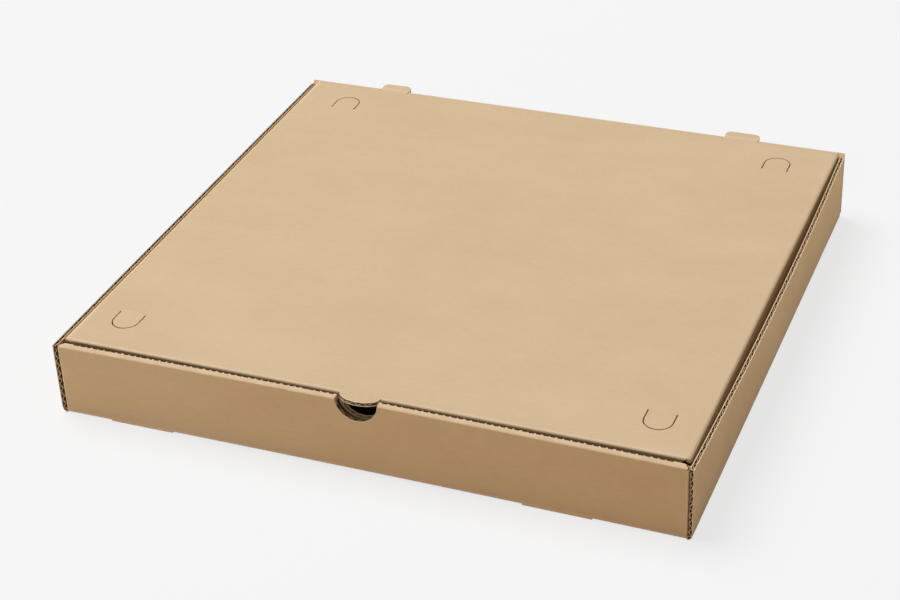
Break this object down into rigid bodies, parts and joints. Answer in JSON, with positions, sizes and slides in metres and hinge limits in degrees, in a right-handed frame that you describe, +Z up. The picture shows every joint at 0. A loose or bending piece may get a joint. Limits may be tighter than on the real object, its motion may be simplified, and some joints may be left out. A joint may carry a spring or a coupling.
{
  "type": "pizza box",
  "caption": "Large flat takeaway box folded from plain brown corrugated board, with a hinged tuck-in lid, a finger notch and push-in vent flaps.",
  "frame": {"origin": "centre of the bounding box of the closed box, at its bottom face, which rests on the table", "axes": "+X to the right as seen from the front, +Y towards the hinge at the back, +Z up"},
  "size_m": [0.462, 0.4422, 0.057],
  "materials": {
    "kraft_tray": "plain brown corrugated board, matte",
    "kraft_lid": "plain brown corrugated board, matte, lighter face",
    "kraft_vent": "plain brown corrugated board, matte"
  },
  "bodies": {
    "tray": {"tray": "kraft_tray"},
    "lid": {"lid": "kraft_lid"},
    "vent_flap_front_left": {"vent_flap_front_left": "kraft_vent"},
    "vent_flap_front_right": {"vent_flap_front_right": "kraft_vent"},
    "vent_flap_rear_left": {"vent_flap_rear_left": "kraft_vent"},
    "vent_flap_rear_right": {"vent_flap_rear_right": "kraft_vent"}
  },
  "joints": [
    {"name": "lid_hinge", "type": "hinge", "parent": "tray", "child": "lid", "pos_m": [0, 0.21185, 0.057], "axis": [-1, 0, 0], "range_deg": [0, 180]},
    {"name": "vent_flap_front_left_fold", "type": "hinge", "parent": "lid", "child": "vent_flap_front_left", "pos_m": [-0.1928, -0.16945, 0.0538], "axis": [1, 0, 0], "range_deg": [0, 80]},
    {"name": "vent_flap_front_right_fold", "type": "hinge", "parent": "lid", "child": "vent_flap_front_right", "pos_m": [0.1928, -0.16945, 0.0538], "axis": [1, 0, 0], "range_deg": [0, 80]},
    {"name": "vent_flap_rear_left_fold", "type": "hinge", "parent": "lid", "child": "vent_flap_rear_left", "pos_m": [-0.182, 0.16835, 0.0538], "axis": [-1, 0, 0], "range_deg": [0, 80]},
    {"name": "vent_flap_rear_right_fold", "type": "hinge", "parent": "lid", "child": "vent_flap_rear_right", "pos_m": [0.182, 0.16835, 0.0538], "axis": [-1, 0, 0], "range_deg": [0, 80]}
  ]
}
